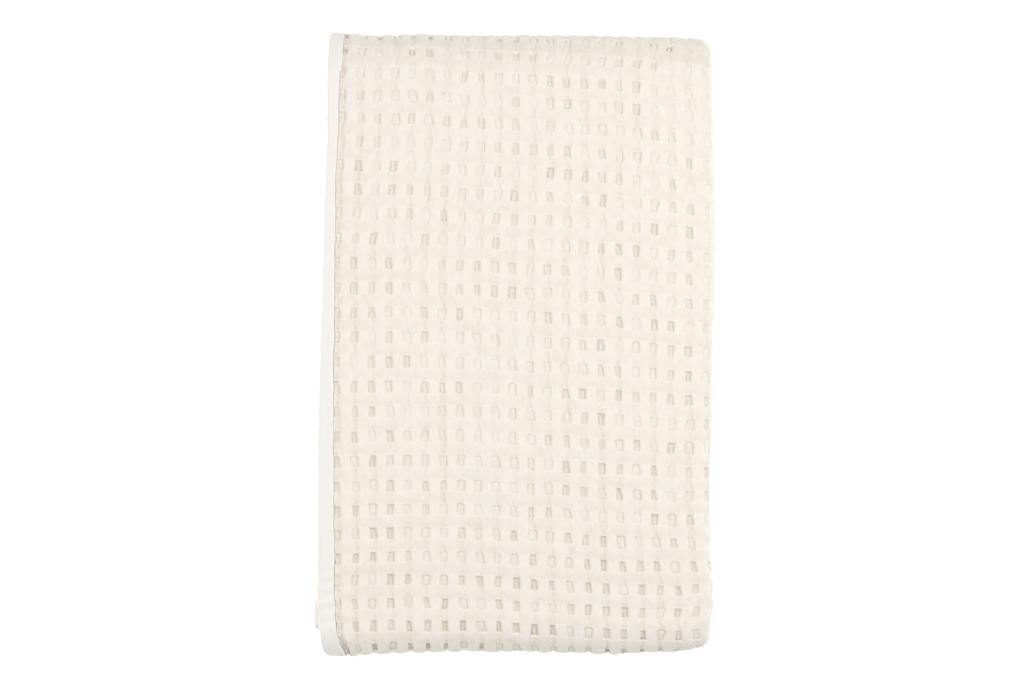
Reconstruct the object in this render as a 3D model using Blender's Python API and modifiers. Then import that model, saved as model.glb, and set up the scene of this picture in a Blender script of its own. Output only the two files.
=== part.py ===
"""A waffle-weave bedspread, folded in four across its width and in four along its length.

Lengths are in metres. X runs across the folded stack, Y along it and Z up. The bedspread is
worked out flat first, as places across its width and along its length, and each place is then
folded twice: across the width into a bundle of four layers, and along the length into four
passes of that bundle. The pieces are one cloth panel and two tapes that bind its long edges.
"""

import math

import bpy

# Driving dimensions of the bedspread laid flat
CLOTH_WIDTH = 1.60
CLOTH_LENGTH = 2.50
SHEET = 0.0046  # the waffle weave's thickness when nothing presses on it
PRESSED_SHEET = 0.0020  # the same cloth sewn flat inside the tape
LAYER_GAP = 0.0017
TAPE_FACE = 0.014
TAPE_THICKNESS = 0.0009
CLEARANCE = 0.0004  # a little over the 0.3 mm that the pieces keep, because the folds are faceted
RAW_EDGE_INSET = 0.0008  # from where the tape starts to turn to the cloth's raw edge inside it
FOLD_PRESS = 0.72  # the share of its thickness that the cloth keeps in its tighter folds
RAMP = 0.0030  # beside the tape's inner edge, the cloth swells to its full thickness over this width

# How it is folded
LAYERS = 4
PITCH = SHEET + LAYER_GAP
BUNDLE = LAYERS * SHEET + (LAYERS - 1) * LAYER_GAP
PASS_PITCH = BUNDLE + LAYER_GAP
HEIGHT = 4 * PASS_PITCH - LAYER_GAP
SIDE_REACH = 1.10  # a fold stands out by this many of its radii, because the cloth is springy
TIGHT_REACH = 1.50
BACK_REACH = 1.22
FRONT_REACH = 1.18
LEFT_FOLD_INSET = 0.0035  # the third and fourth layers' fold lies this far inside the tape's edge
SECOND_EDGE_INSET = 0.0015  # and the second taped edge this far inside the first
SHORT_PASS = 0.012  # the third pass stops this much sooner than the fourth

# Faces along each stretch
BIG_FOLD_STEPS = 10
SMALL_FOLD_STEPS = 6
SIDE_FOLD_STEPS = 6
TIGHT_FOLD_STEPS = 4
TAPE_TURN_STEPS = 4
FLAT_SHARES = (0.0, 0.10, 0.36, 0.64, 0.90, 1.0)
PASS_SHARES = (0.0, 0.04, 0.08, 0.14, 0.34, 0.56, 0.78, 0.92, 1.0)
LEAST_SHARE = 0.01  # no face of a pass is shorter than this share of it

# Where each pass's left and right edges lie, in millimetres from where an even fold would put them.
# along: 0 at the front of the stack and 1 at the back.
EDGE_ROWS = (
    # (pass, along, left, right)
    ("bottom", 0.00, -1.0, -4.0),
    ("bottom", 0.50, 1.0, -5.0),
    ("bottom", 1.00, 0.0, -2.0),
    ("top", 1.00, 2.0, 7.0),
    ("top", 0.88, 2.5, 7.0),
    ("top", 0.60, 1.0, 4.0),
    ("top", 0.40, -1.0, -1.0),
    ("top", 0.20, 0.0, -4.0),
    ("top", 0.11, 0.5, -3.5),
    ("top", 0.06, 1.0, -1.5),
    ("top", 0.03, 2.0, -1.0),
    ("top", 0.00, 4.0, -4.0),
    ("second", 0.00, 6.0, -4.0),
    ("second", 0.20, 1.0, -5.0),
    ("second", 0.60, 2.0, -2.0),
    ("second", 1.00, 0.0, -3.0),
    ("third", 1.00, 0.0, -3.0),
    ("third", 0.60, 1.0, -4.0),
    ("third", 0.14, 0.0, -5.0),
    ("third", 0.08, -9.0, -5.0),
    ("third", 0.04, -8.5, -4.0),
    ("third", 0.00, -7.0, -3.0),
)

# How far the ends of the stack bulge out of line, in millimetres: across is 0 at its left edge
# and 1 at its right.
END_ROWS = (
    # (across, back end, front end)
    (0.00, 4.0, -4.0),
    (0.05, 3.0, -5.0),
    (0.12, 0.5, -2.5),
    (0.25, 1.5, -0.5),
    (0.40, 0.0, 1.0),
    (0.55, 0.0, 0.0),
    (0.75, 0.0, -2.0),
    (0.90, -1.0, 0.0),
    (1.00, -4.5, 4.0),
)

END_BEGINS = 0.45  # the share of the way from the far end at which a bulge begins

# How far the top of the stack lies above or below level, in millimetres, for places along it
# (0 front, 1 back) at its left edge, left quarter, middle, right quarter and right edge.
SETTLE_ROWS = (
    # (along, left edge, left quarter, middle, right quarter, right edge)
    (0.00, -7.0, -3.5, -2.5, -3.0, -6.0),
    (0.15, -5.5, -1.0, 0.5, 0.0, -4.0),
    (0.40, -4.5, 0.0, 1.0, 1.0, -3.0),
    (0.70, -5.0, 0.0, 1.5, 0.5, -3.5),
    (0.90, -6.0, -1.5, -0.5, -1.5, -6.0),
    (1.00, -7.0, -3.5, -2.5, -4.5, -10.0),
)
SETTLE_PLACES = (0.0, 0.22, 0.50, 0.78, 1.0)

# Finishes: sRGB colours and roughness
CREAM = (0.953, 0.925, 0.886)
WHITE = (0.969, 0.957, 0.945)
CLOTH_ROUGHNESS = 0.92
TAPE_ROUGHNESS = 0.78

MM = 0.001


def worked_out():
    """The sizes that follow from the cloth's size and the way it is folded."""
    side_radius = 1.5 * PITCH
    tight_radius = 0.5 * PITCH
    side_arc = ellipse_half(side_radius, SIDE_REACH)
    tight_arc = ellipse_half(tight_radius, TIGHT_REACH)
    insets = SECOND_EDGE_INSET + 2 * RAW_EDGE_INSET + 2 * LEFT_FOLD_INSET
    layer_flat = (CLOTH_WIDTH - side_arc - 2 * tight_arc + insets) / LAYERS
    big_radius = 1.5 * PASS_PITCH
    small_radius = 0.5 * PASS_PITCH
    folds = ellipse_half(big_radius, BACK_REACH)
    folds += ellipse_half(small_radius, BACK_REACH)
    folds += ellipse_half(small_radius, FRONT_REACH)
    pass_flat = (CLOTH_LENGTH - folds + SHORT_PASS) / 4
    right_reach = SIDE_REACH * side_radius + SHEET / 2
    return {
        "side_radius": side_radius,
        "tight_radius": tight_radius,
        "layer_flat": layer_flat,
        "across": layer_flat + right_reach,
        "big_radius": big_radius,
        "small_radius": small_radius,
        "pass_flat": pass_flat,
    }


def ellipse_half(radius, reach):
    """Half the way round an oval whose one half axis is the radius and the other reach times it."""
    a = radius
    b = radius * reach
    return math.pi / 2 * (3 * (a + b) - math.sqrt((3 * a + b) * (a + 3 * b)))


def eased(rows, place):
    """Values at a place, eased between the rows of a table whose first column is the place."""
    if place <= rows[0][0]:
        return rows[0][1:]
    for low, high in zip(rows, rows[1:]):
        if place <= high[0]:
            share = (place - low[0]) / (high[0] - low[0])
            share = share * share * (3 - 2 * share)
            return [a + (b - a) * share for a, b in zip(low[1:], high[1:])]
    return rows[-1][1:]


def edge_shift(pass_name, along):
    """The left and right shifts of a pass's edges."""
    rows = sorted(row[1:] for row in EDGE_ROWS if row[0] == pass_name)
    left, right = eased(rows, along)
    return left * MM, right * MM


def across_stops(size):
    """The four layers as (x, height in the bundle, share of full thickness), from the first taped edge."""
    flat = size["layer_flat"]
    side = size["side_radius"]
    tight = size["tight_radius"]
    pressed = PRESSED_SHEET / SHEET
    tape_end = TAPE_FACE + CLEARANCE
    second = SECOND_EDGE_INSET
    to_right = [LEFT_FOLD_INSET + (flat - LEFT_FOLD_INSET) * share for share in FLAT_SHARES]
    first_layer = [(RAW_EDGE_INSET, side, pressed), (tape_end, side, pressed), (tape_end + RAMP, side, 1.0)]
    first_layer += [(flat * share, side, 1.0) for share in FLAT_SHARES[1:]]
    fourth_layer = [(x, -side, 1.0) for x in reversed(to_right)]
    third_layer = [(x, -tight, 1.0) for x in to_right]
    second_layer = [(flat * share, tight, 1.0) for share in reversed(FLAT_SHARES[1:])]
    second_layer += [(second + tape_end + RAMP, tight, 1.0), (second + tape_end, tight, pressed)]
    second_layer += [(second + RAW_EDGE_INSET, tight, pressed)]
    outer_fold = turn(flat, 0.0, side, SIDE_REACH, SIDE_FOLD_STEPS, 1.0)
    left_fold = turn(LEFT_FOLD_INSET, -2 * tight, tight, -TIGHT_REACH, TIGHT_FOLD_STEPS, FOLD_PRESS)
    inner_fold = turn(flat, 0.0, tight, TIGHT_REACH, TIGHT_FOLD_STEPS, FOLD_PRESS)
    return (first_layer + outer_fold + fourth_layer + left_fold[::-1] + third_layer
            + inner_fold[::-1] + second_layer)


def turn(x, height, radius, reach, steps, press):
    """A fold's points between its ends, from the upper end down, left of x where the reach is below 0."""
    points = []
    for step in range(1, steps):
        angle = math.pi * step / steps
        points.append((x + math.sin(angle) * radius * reach, height + math.cos(angle) * radius, press))
    return points


def along_stops(size):
    """The way along the cloth, as (pass or fold, share), from the fourth pass's free end to the third's."""
    stops = [("bottom", share) for share in PASS_SHARES]
    stops += [("back fold", step / BIG_FOLD_STEPS) for step in range(1, BIG_FOLD_STEPS)]
    stops += [("top", share) for share in reversed(PASS_SHARES)]
    stops += [("front fold", step / SMALL_FOLD_STEPS) for step in range(1, SMALL_FOLD_STEPS)]
    stops += [("second", share) for share in PASS_SHARES]
    stops += [("inner fold", step / SMALL_FOLD_STEPS) for step in range(1, SMALL_FOLD_STEPS)]
    first = SHORT_PASS / size["pass_flat"]
    kept = [share for share in PASS_SHARES if share > first + LEAST_SHARE]
    stops += [("third", share) for share in reversed(kept)] + [("third", first)]
    return stops


def fold_along(size, run, share, height):
    """Where a height in the bundle comes to lie along the stack and above its base, at a place on a run."""
    length = size["pass_flat"]
    middle = HEIGHT / 2
    top = middle + size["big_radius"]
    second = middle + size["small_radius"]
    if run == "bottom":
        return length * share, middle - size["big_radius"] - height
    if run == "top":
        return length * share, top + height
    if run == "second":
        return length * share, second - height
    if run == "third":
        return length * share, middle - size["small_radius"] + height
    angle = math.pi * share
    if run == "back fold":
        radius = size["big_radius"] + height
        return length + BACK_REACH * radius * math.sin(angle), middle - radius * math.cos(angle)
    if run == "inner fold":
        radius = size["small_radius"] - height
        return length + BACK_REACH * radius * math.sin(angle), middle + radius * math.cos(angle)
    radius = size["small_radius"] + height
    centre = (top + second) / 2
    return -FRONT_REACH * radius * math.sin(angle), centre + radius * math.cos(angle)


def run_shift(run, share):
    """The edge shifts at a place on a run: a fold eases from the pass before it to the pass after it."""
    ends = {
        "back fold": (("bottom", 1.0), ("top", 1.0)),
        "front fold": (("top", 0.0), ("second", 0.0)),
        "inner fold": (("second", 1.0), ("third", 1.0)),
    }
    if run not in ends:
        return edge_shift(run, share)
    before, after = (edge_shift(*end) for end in ends[run])
    ease = share * share * (3 - 2 * share)
    return [a + (b - a) * ease for a, b in zip(before, after)]


def settled(size, x, y, z):
    """Moves a folded place by the stack's own unevenness; the lowest layer stays level."""
    across = min(1.0, max(0.0, x / size["across"]))
    along = min(1.0, max(0.0, y / size["pass_flat"]))
    back, front = eased(END_ROWS, across)
    y += back * MM * smooth(along, END_BEGINS, 1.0) + front * MM * smooth(1 - along, END_BEGINS, 1.0)
    row = eased(SETTLE_ROWS, along)
    level = eased(tuple((place, value) for place, value in zip(SETTLE_PLACES, row)), across)[0]
    free = max(0.0, z - PITCH) / (HEIGHT - PITCH)
    z += level * MM * free
    return x, y, z


def smooth(value, low, high):
    share = min(1.0, max(0.0, (value - low) / (high - low)))
    return share * share * (3 - 2 * share)


def place(size, across_stop, along_stop):
    """The place in the folded stack of one point across the cloth and one along it."""
    x, height = across_stop[:2]
    run, share = along_stop
    y, z = fold_along(size, run, share, height)
    left, right = run_shift(run, share)
    part = x / size["across"]
    x += left * (1 - part) + right * part
    return settled(size, x, y, z)


def folded_sheet(name, size, stops, thickness, collection):
    """A grid, folded stop by stop, and thickened on both sides of its middle surface."""
    ways = along_stops(size)
    columns = len(stops) - 1
    rows = len(ways) - 1
    bpy.ops.mesh.primitive_grid_add(x_subdivisions=columns, y_subdivisions=rows, size=2)
    sheet = bpy.context.object
    sheet.name = name
    sheet.data.name = name
    thick = sheet.vertex_groups.new(name="thickness")
    for vertex in sheet.data.vertices:
        column = round((vertex.co.x + 1) / 2 * columns)
        row = round((vertex.co.y + 1) / 2 * rows)
        vertex.co = place(size, stops[column], ways[row])
        press = FOLD_PRESS if ways[row][0] in ("front fold", "inner fold") else 1.0
        thick.add([vertex.index], stops[column][2] * press, "REPLACE")
    shell = sheet.modifiers.new("thickness", "SOLIDIFY")
    shell.thickness = thickness
    shell.offset = 0.0
    shell.use_even_offset = True
    shell.use_quality_normals = True
    shell.vertex_group = thick.name
    for owner in sheet.users_collection:
        owner.objects.unlink(sheet)
    collection.objects.link(sheet)
    sheet.data.shade_smooth()
    return sheet


def tape_stops(x, height):
    """A tape folded over an edge: in along its upper face, round the edge, and out along its lower face."""
    off = PRESSED_SHEET / 2 + CLEARANCE + TAPE_THICKNESS / 2
    stops = [(x + TAPE_FACE, height - off, 1.0), (x + TAPE_FACE / 2, height - off, 1.0)]
    for step in range(TAPE_TURN_STEPS + 1):
        angle = math.pi * step / TAPE_TURN_STEPS
        stops.append((x - off * math.sin(angle), height - off * math.cos(angle), 1.0))
    stops += [(x + TAPE_FACE / 2, height + off, 1.0), (x + TAPE_FACE, height + off, 1.0)]
    return stops


def material(name, colour, roughness):
    """A plain woven finish, with the colour turned from sRGB to linear."""
    finish = bpy.data.materials.new(name)
    finish.use_nodes = True
    shader = finish.node_tree.nodes["Principled BSDF"]
    linear = [((value + 0.055) / 1.055) ** 2.4 for value in colour]
    shader.inputs["Base Color"].default_value = (*linear, 1.0)
    shader.inputs["Roughness"].default_value = roughness
    shader.inputs["Metallic"].default_value = 0.0
    finish.diffuse_color = (*linear, 1.0)
    return finish


def stand_on_origin(pieces):
    """Puts the middle of the pieces' base on the origin, by the empty that carries them."""
    bpy.context.view_layer.update()
    graph = bpy.context.evaluated_depsgraph_get()
    corners = []
    for piece in pieces:
        made = piece.evaluated_get(graph)
        corners += [made.matrix_world @ vertex.co for vertex in made.data.vertices]
    low = [min(corner[axis] for corner in corners) for axis in range(3)]
    high = [max(corner[axis] for corner in corners) for axis in range(3)]
    carrier = bpy.data.objects.new("bedspread_origin", None)
    pieces[0].users_collection[0].objects.link(carrier)
    carrier.location = (-(low[0] + high[0]) / 2, -(low[1] + high[1]) / 2, -low[2])
    for piece in pieces:
        piece.parent = carrier


def main():
    for old in list(bpy.data.objects):
        bpy.data.objects.remove(old, do_unlink=True)
    collection = bpy.data.collections.new("bedspread")
    bpy.context.scene.collection.children.link(collection)
    size = worked_out()
    cloth = folded_sheet("cloth_panel", size, across_stops(size), SHEET, collection)
    cloth.data.materials.append(material("cream cotton waffle", CREAM, CLOTH_ROUGHNESS))
    white = material("white cotton tape", WHITE, TAPE_ROUGHNESS)
    first = folded_sheet("side_binding_1", size, tape_stops(0.0, size["side_radius"]),
                         TAPE_THICKNESS, collection)
    second = folded_sheet("side_binding_2", size, tape_stops(SECOND_EDGE_INSET, size["tight_radius"]),
                          TAPE_THICKNESS, collection)
    for tape in (first, second):
        tape.data.materials.append(white)
    stand_on_origin([cloth, first, second])


main()
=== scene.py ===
import math

import bmesh
import bpy
import numpy as np
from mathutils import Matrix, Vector


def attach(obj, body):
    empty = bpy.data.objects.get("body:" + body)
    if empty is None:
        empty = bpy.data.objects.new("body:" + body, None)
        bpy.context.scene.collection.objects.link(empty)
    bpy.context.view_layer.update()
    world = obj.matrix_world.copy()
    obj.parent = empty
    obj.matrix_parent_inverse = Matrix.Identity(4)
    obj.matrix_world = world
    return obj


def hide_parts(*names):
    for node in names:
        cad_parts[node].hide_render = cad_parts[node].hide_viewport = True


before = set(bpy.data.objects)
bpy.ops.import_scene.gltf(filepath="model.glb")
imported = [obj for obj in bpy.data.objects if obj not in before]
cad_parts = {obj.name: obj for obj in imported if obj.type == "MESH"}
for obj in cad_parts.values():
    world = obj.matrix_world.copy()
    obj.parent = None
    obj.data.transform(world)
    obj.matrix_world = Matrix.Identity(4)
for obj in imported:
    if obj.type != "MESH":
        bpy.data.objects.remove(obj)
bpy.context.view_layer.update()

mm = 0.001

# The bedspread's own sizes and the way it is folded, the same as in the solids.
# Passes are counted as the cloth runs: bottom, top, second, third. along is 0 at the front end.
stack = {
    "clothWidth": 1.60,
    "clothLength": 2.50,
    "sheet": 0.0046,
    "pressedSheet": 0.0020,  # the cloth inside the tape
    "layerGap": 0.0017,
    "tapeFace": 0.014,
    "clearance": 0.0004,
    "rawEdgeInset": 0.0008,
    "foldPress": 0.72,
    "ramp": 0.0030,
    "sideReach": 1.10,
    "tightReach": 1.50,
    "backReach": 1.22,
    "frontReach": 1.18,
    "leftFoldInset": 0.0035,
    "secondEdgeInset": 0.0015,
    "shortPass": 0.012,
    "thirdShort": 0.003,  # the third pass reaches out a little further than in the solids
    "endBegins": 0.45,
    "cornerCurl": (  # the front left corner turns in: (in from the edge, shift), in mm
        (0, 0.5), (8, 3.5), (14, 8.5), (20, 7.5), (28, 4.0), (37, 1.5), (55, 0)),
    "curlReach": (2.93, 3.45, 3.7, 4.15),  # where along it grows, is full and is gone again
    "cornerTuck": 0.004,  # how far the very edge is tucked under there
    "tuckReach": (3.2, 3.55, 3.7, 4.15),
    "tuckWide": 0.012,
    "edges": {  # (along, left, right) in mm from where an even fold would lie
        "bottom": ((0.00, -1.0, -3.0), (0.50, 1.0, -4.0), (0.80, 2.5, -2.0), (1.00, 3.0, -1.0)),
        "top": ((0.00, 1.0, -1.2), (0.03, -0.4, 1.6), (0.06, -0.9, 1.2), (0.11, -1.2, -0.6),
                (0.20, -1.9, -1.2), (0.40, -2.4, 1.8), (0.60, -0.8, 6.6), (0.78, 0.8, 8.8),
                (0.90, 2.4, 8.6), (1.00, 1.4, 7.6)),
        "second": ((0.00, 4.0, -2.0), (0.20, 1.0, -3.0), (0.60, 3.0, -1.0), (1.00, 3.5, -2.0)),
        "third": ((0.00, -7.5, -3.0), (0.03, -8.8, -4.0), (0.075, -5.0, -5.0), (0.13, -2.0, -5.0),
                  (0.60, 2.0, -4.0), (1.00, 3.0, -4.0)),
    },
    "ends": (  # (across, back end, front end) in mm out of line
        (0.00, 4.0, -4.0), (0.05, 3.0, -5.0), (0.12, 0.5, -2.5), (0.25, 1.5, -0.5),
        (0.40, 0.0, 1.0), (0.55, 0.0, 0.0), (0.75, 0.0, -2.0), (0.90, -1.0, 0.0),
        (1.00, -2.2, 5.2)),
    "backBulge": (0.0, 4.5),  # the back fold's left and right edges stand out in mm
    "settle": (  # (along, then the top's height off level at each of the places), in mm
        (0.00, -7.0, -3.5, -2.5, -3.0, -6.0), (0.15, -5.5, -1.0, 0.5, 0.0, -4.0),
        (0.40, -4.5, 0.0, 1.0, 1.0, -3.0), (0.70, -5.0, 0.0, 1.5, 0.5, -3.5),
        (0.90, -6.0, -1.5, -0.5, -1.5, -6.0), (1.00, -7.0, -3.5, -2.5, -4.5, -10.0)),
    "settlePlaces": (0.0, 0.22, 0.50, 0.78, 1.0),
}


def halfOval(radius, reach):  # the length of half an oval, reach times as far out as it is high
    a, b = radius, radius * reach
    return math.pi / 2 * (3 * (a + b) - math.sqrt((3 * a + b) * (a + 3 * b)))


def foldSizes():  # what is left flat once the folds have taken their share, and so the stack's size
    s = stack
    pitch = s["sheet"] + s["layerGap"]
    passPitch = 4 * pitch
    side, tight = 1.5 * pitch, 0.5 * pitch
    big, small = 1.5 * passPitch, 0.5 * passPitch
    insets = s["secondEdgeInset"] + 2 * s["rawEdgeInset"] + 2 * s["leftFoldInset"]
    arcs = halfOval(side, s["sideReach"]) + 2 * halfOval(tight, s["tightReach"])
    folds = halfOval(big, s["backReach"]) + halfOval(small, s["backReach"])
    folds = folds + halfOval(small, s["frontReach"])
    layerFlat = (s["clothWidth"] - arcs + insets) / 4
    return {
        "pitch": pitch, "side": side, "tight": tight, "big": big, "small": small,
        "height": 4 * passPitch - s["layerGap"],
        "layerFlat": layerFlat,
        "across": layerFlat + s["sideReach"] * side + s["sheet"] / 2,
        "passFlat": (s["clothLength"] - folds + s["shortPass"]) / 4,
    }


size = foldSizes()


def smooth(value, low=0.0, high=1.0):
    share = np.clip((value - low) / (high - low), 0.0, 1.0)
    return share * share * (3 - 2 * share)


def upAndDown(value, reach):  # 0, then 1 between the middle two of four places, then 0 again
    return smooth(value, reach[0], reach[1]) * (1 - smooth(value, reach[2], reach[3]))


def easedTable(rows, at):  # the rows' values at each place, eased from row to row
    table = np.array(rows, float)
    at = np.clip(at, table[0, 0], table[-1, 0])
    low = np.clip(np.searchsorted(table[:, 0], at, side="right") - 1, 0, len(table) - 2)
    share = smooth((at - table[low, 0]) / (table[low + 1, 0] - table[low, 0]))
    return table[low, 1:] + (table[low + 1, 1:] - table[low, 1:]) * share[..., None]


def acrossPlace(p, off):
    # p runs 0 to 7 across the cloth: layer, side fold, layer, left fold, layer, inner fold, layer.
    # off is the distance from the cloth's middle. Gives x, and the height in the bundle of layers.
    flat, side, tight = size["layerFlat"], size["side"], size["tight"]
    inset = stack["leftFoldInset"]
    run = np.clip(np.floor(p), 0, 6).astype(int)
    q = p - run
    sine, cosine = np.sin(np.pi * q), np.cos(np.pi * q)
    reach, tightReach = stack["sideReach"], stack["tightReach"]
    x = np.choose(run, [
        flat * q, flat + reach * (side + off) * sine, flat - (flat - inset) * q,
        inset - tightReach * (tight + off) * sine, inset + (flat - inset) * q,
        flat + tightReach * (tight - off) * sine, flat - (flat - stack["secondEdgeInset"]) * q])
    height = np.choose(run, [
        side + off, (side + off) * cosine, -side - off, -2 * tight - (tight + off) * cosine,
        off - tight, (off - tight) * cosine, tight - off])
    return x, height


def alongPlace(t, height):
    # t runs 0 to 7 along the cloth: bottom, back fold, top, front fold, second, inner fold, third.
    # Gives y and z, for a height in the bundle of layers.
    flat, big, small = size["passFlat"], size["big"], size["small"]
    middle = size["height"] / 2
    kept = 1 - stack["thirdShort"] / flat
    run = np.clip(np.floor(t), 0, 6).astype(int)
    q = t - run
    sine, cosine = np.sin(np.pi * q), np.cos(np.pi * q)
    y = np.choose(run, [
        flat * q, flat + stack["backReach"] * (big + height) * sine, flat * (1 - q),
        -stack["frontReach"] * (small + height) * sine, flat * q,
        flat + stack["backReach"] * (small - height) * sine, flat * (1 - q * kept)])
    z = np.choose(run, [
        middle - big - height, middle - (big + height) * cosine, middle + big + height,
        middle + (big + small) / 2 + (small + height) * cosine, middle + small - height,
        middle + (small - height) * cosine, middle - small + height])
    return y, z


def edgeShift(t):  # how far the left and right edges lie out of line there, in metres
    kept = 1 - stack["thirdShort"] / size["passFlat"]
    run = np.clip(np.floor(t), 0, 6).astype(int)
    q = t - run
    edges = stack["edges"]
    at = {}
    for name, rows in edges.items():
        at[name] = [easedTable(rows, np.array([end]))[0] for end in (0.0, 1.0)]
    ease = smooth(q)[..., None]
    shift = np.zeros(t.shape + (2,))
    parts = (
        easedTable(edges["bottom"], q),
        at["bottom"][1] + (at["top"][1] - at["bottom"][1]) * ease
        + np.array(stack["backBulge"]) * np.sin(np.pi * q)[..., None] ** 2 * ease,
        easedTable(edges["top"], 1 - q),
        at["top"][0] + (at["second"][0] - at["top"][0]) * ease,
        easedTable(edges["second"], q),
        at["second"][1] + (at["third"][1] - at["second"][1]) * ease,
        easedTable(edges["third"], 1 - q * kept),
    )
    for number, part in enumerate(parts):
        shift = np.where((run == number)[..., None], part, shift)
    return shift * mm


def settled(x, y, z):  # the stack's own unevenness; the lowest layer stays level
    across = np.clip(x / size["across"], 0, 1)
    along = np.clip(y / size["passFlat"], 0, 1)
    ends = easedTable(stack["ends"], across) * mm
    begins = stack["endBegins"]
    y = y + ends[..., 0] * smooth(along, begins, 1.0) + ends[..., 1] * smooth(1 - along, begins, 1.0)
    levels = easedTable(stack["settle"], along)
    places = stack["settlePlaces"]
    level = np.zeros(x.shape)
    for number in range(len(places) - 1):
        low, high = places[number], places[number + 1]
        ease = smooth(across, low, high)
        eased = levels[..., number] * (1 - ease) + levels[..., number + 1] * ease
        level = np.where(across >= low, eased, level)
    free = np.maximum(0.0, z - size["pitch"]) / (size["height"] - size["pitch"])
    return x, y, z + level * mm * free


def stackPlace(x, height, t):  # a place across, a height in the bundle and a place along, all folded up
    y, z = alongPlace(t, height)
    shift = edgeShift(t)
    part = x / size["across"]
    x = x + shift[..., 0] * (1 - part) + shift[..., 1] * part
    turns = np.array(stack["cornerCurl"]) * mm
    inward = part * size["across"]
    x = x + upAndDown(t, stack["curlReach"]) * np.interp(inward, turns[:, 0], turns[:, 1])
    tuck = upAndDown(t, stack["tuckReach"]) * stack["cornerTuck"]
    x = x + tuck * (1 - smooth(inward, 0, stack["tuckWide"]))
    return np.stack(settled(x, y, z), axis=-1)


def foldedPlace(p, t, off):  # where a point of the flat cloth lies, off its middle surface
    x, height = acrossPlace(p, off)
    return stackPlace(x, height, t)


def lengthTable(place, other, count=4201):  # distance run for each step of p or t
    steps = np.linspace(0, 7, count)
    a, b = place(steps, np.full(count, other))
    run = np.concatenate([[0], np.cumsum(np.hypot(np.diff(a), np.diff(b)))])
    return steps, run


toFrame = np.array([-0.1974, -0.3023, 0.0])  # from the folding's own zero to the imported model's
acrossSteps, acrossRun = lengthTable(acrossPlace, 0.0)
alongSteps, alongRun = lengthTable(alongPlace, size["side"])
topStart = float(np.interp(2.0, alongSteps, alongRun))  # the top pass begins here, at the back


def stepAcross(u):
    return np.interp(u, acrossRun, acrossSteps)


def stepAlong(v):
    return np.interp(v, alongRun, alongSteps)


print("folding plan ready")

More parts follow.
